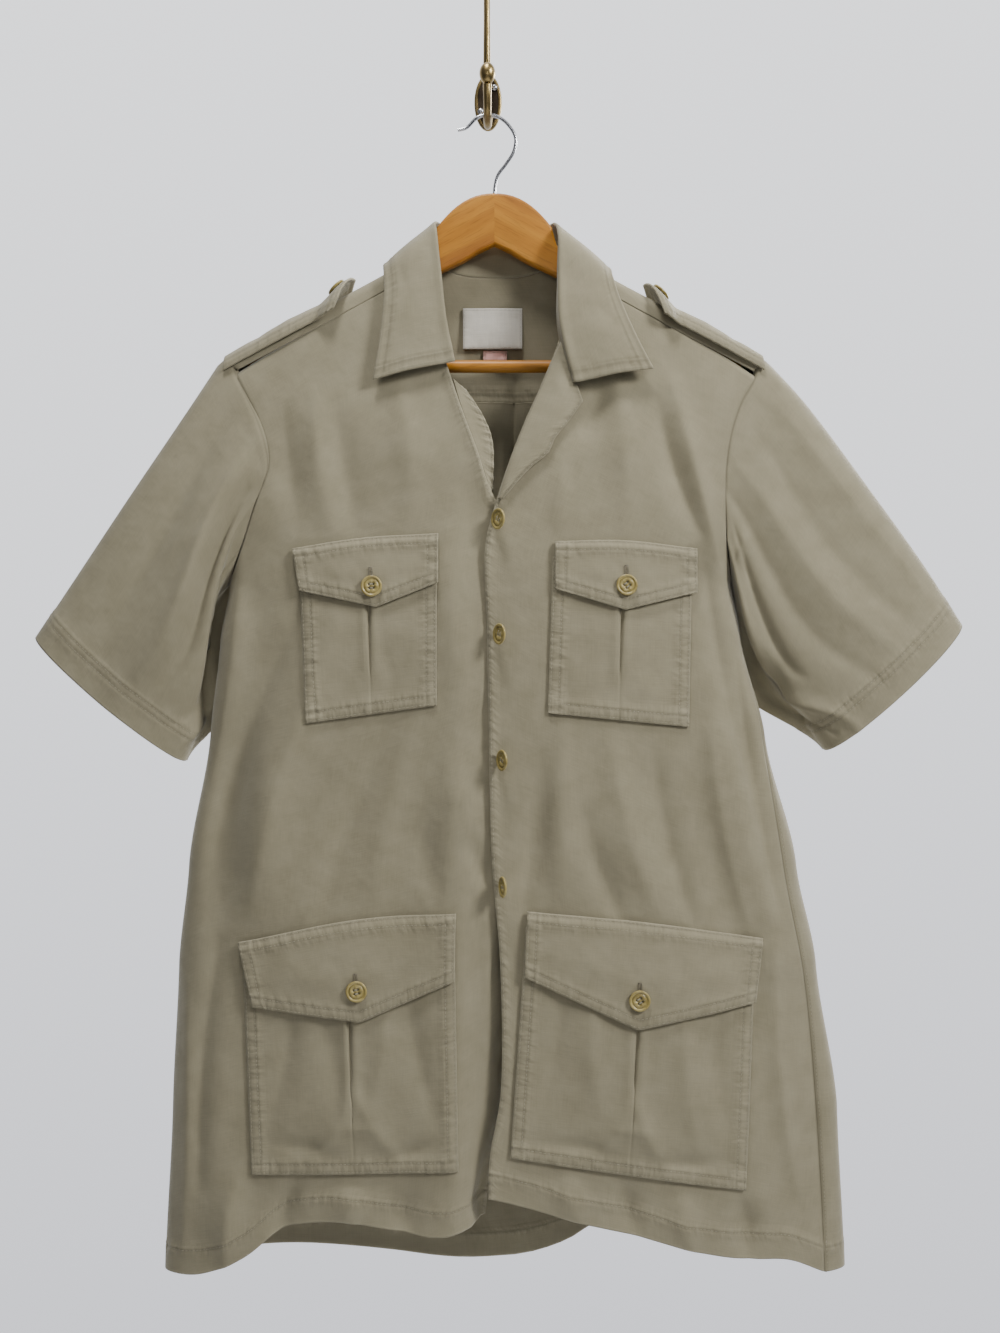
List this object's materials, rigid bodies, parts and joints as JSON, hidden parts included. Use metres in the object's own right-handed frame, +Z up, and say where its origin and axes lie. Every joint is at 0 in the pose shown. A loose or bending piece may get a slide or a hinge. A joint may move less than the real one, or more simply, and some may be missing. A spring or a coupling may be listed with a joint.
{
  "type": "short-sleeve bush shirt on a hanger and wall hook",
  "caption": "Olive short-sleeved bush shirt with shoulder straps and flapped chest and hip pockets, hung open at the neck on a wooden hanger from a brass wall hook.",
  "frame": {"origin": "centre of the wall plate's back, on the wall", "axes": "+Y into the wall, so the shirt's front faces -Y; +Z up; +X to the right of someone who looks at the shirt"},
  "size_m": [0.742, 0.1047, 1.0244],
  "materials": {
    "cloth": "olive khaki poplin, fine plain weave, slight sheen, paler worn seam edges",
    "button": "mustard olive, semi-matt, with a darker rim",
    "label": "bare woven satin label",
    "tab": "bare pink woven tab",
    "wood": "honey-coloured beech, clear varnish",
    "steel": "bright plated wire",
    "brass": "aged brass, polished where it is touched",
    "bronze": "dark bronzed plate with a bright rim"
  },
  "bodies": {
    "root": {"front_left": "cloth", "front_right": "cloth", "back": "cloth", "yoke": "cloth", "sleeve_left": "cloth", "sleeve_right": "cloth", "collar": "cloth", "lapel_right": "cloth", "facing_left": "cloth", "strap_left": "cloth", "strap_right": "cloth", "chest_pocket_left": "cloth", "chest_flap_left": "cloth", "chest_button_left": "button", "chest_pocket_right": "cloth", "chest_flap_right": "cloth", "chest_button_right": "button", "hip_pocket_left": "cloth", "hip_flap_left": "cloth", "hip_button_left": "button", "hip_pocket_right": "cloth", "hip_flap_right": "cloth", "hip_button_right": "button", "front_button_1": "button", "front_button_2": "button", "front_button_3": "button", "front_button_4": "button", "strap_button_left": "button", "strap_button_right": "button", "neck_label": "label", "size_tab": "tab", "hanger_arm_left": "wood", "hanger_arm_right": "wood", "hanger_bar": "wood", "hanger_wire": "steel", "plate_screw": "steel", "wall_plate": "bronze", "hook_prong": "brass", "hook_rod": "brass", "hook_knob": "brass"}
  },
  "joints": []
}
